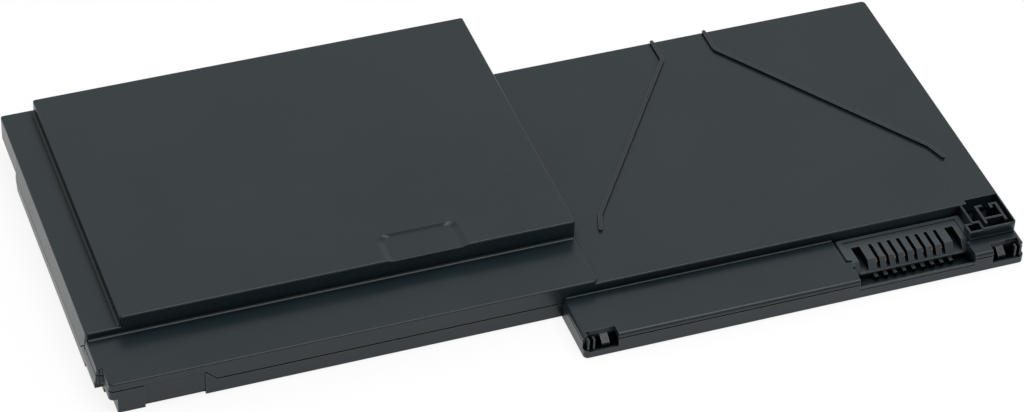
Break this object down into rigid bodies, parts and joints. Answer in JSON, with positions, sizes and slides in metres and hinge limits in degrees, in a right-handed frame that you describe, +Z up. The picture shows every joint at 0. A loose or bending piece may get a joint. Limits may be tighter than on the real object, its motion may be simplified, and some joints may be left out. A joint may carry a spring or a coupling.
{
  "type": "laptop battery",
  "caption": "Flat stepped laptop battery pack in a moulded plastic case, with a comb connector in a low front ledge and pouch cells inside.",
  "frame": {"origin": "middle of the footprint's bounding box, on the flat underside", "axes": "+X along the length towards the connector end, -Y towards the ledge, +Z up out of the top"},
  "size_m": [0.1884, 0.0952, 0.012],
  "materials": {
    "case_plastic": "fine spark-eroded texture, charcoal",
    "connector_plastic": "glass-filled nylon, dark grey",
    "contact_copper": "copper alloy, thin gold flash",
    "cell_pouch": "laminated aluminium foil",
    "nickel": "nickel strip",
    "board_laminate": "green solder mask over glass-epoxy",
    "chip_resin": "moulded epoxy",
    "tape": "double-sided tape",
    "foam": "closed-cell foam"
  },
  "bodies": {
    "root": {"upper_case": "case_plastic", "lower_case": "case_plastic", "connector_housing": "connector_plastic", "contact_1": "contact_copper", "contact_2": "contact_copper", "contact_3": "contact_copper", "contact_4": "contact_copper", "contact_5": "contact_copper", "contact_6": "contact_copper", "contact_7": "contact_copper", "contact_8": "contact_copper", "cell_left_lower": "cell_pouch", "cell_left_upper": "cell_pouch", "cell_right": "cell_pouch", "tab_left_lower_negative": "nickel", "tab_left_lower_positive": "nickel", "tab_left_upper_positive": "nickel", "tab_left_upper_negative": "nickel", "tab_right_negative": "nickel", "tab_right_positive": "nickel", "negative_lead": "nickel", "first_tap_lead": "nickel", "middle_lead": "nickel", "protection_board": "board_laminate", "charge_switch": "chip_resin", "discharge_switch": "chip_resin", "gauge_chip": "chip_resin", "sense_resistor": "chip_resin", "chemical_fuse": "chip_resin", "thermistor": "chip_resin", "floor_tape_left": "tape", "floor_tape_right": "tape", "middle_tape": "tape", "top_foam_left": "foam", "top_foam_right": "foam"}
  },
  "joints": []
}
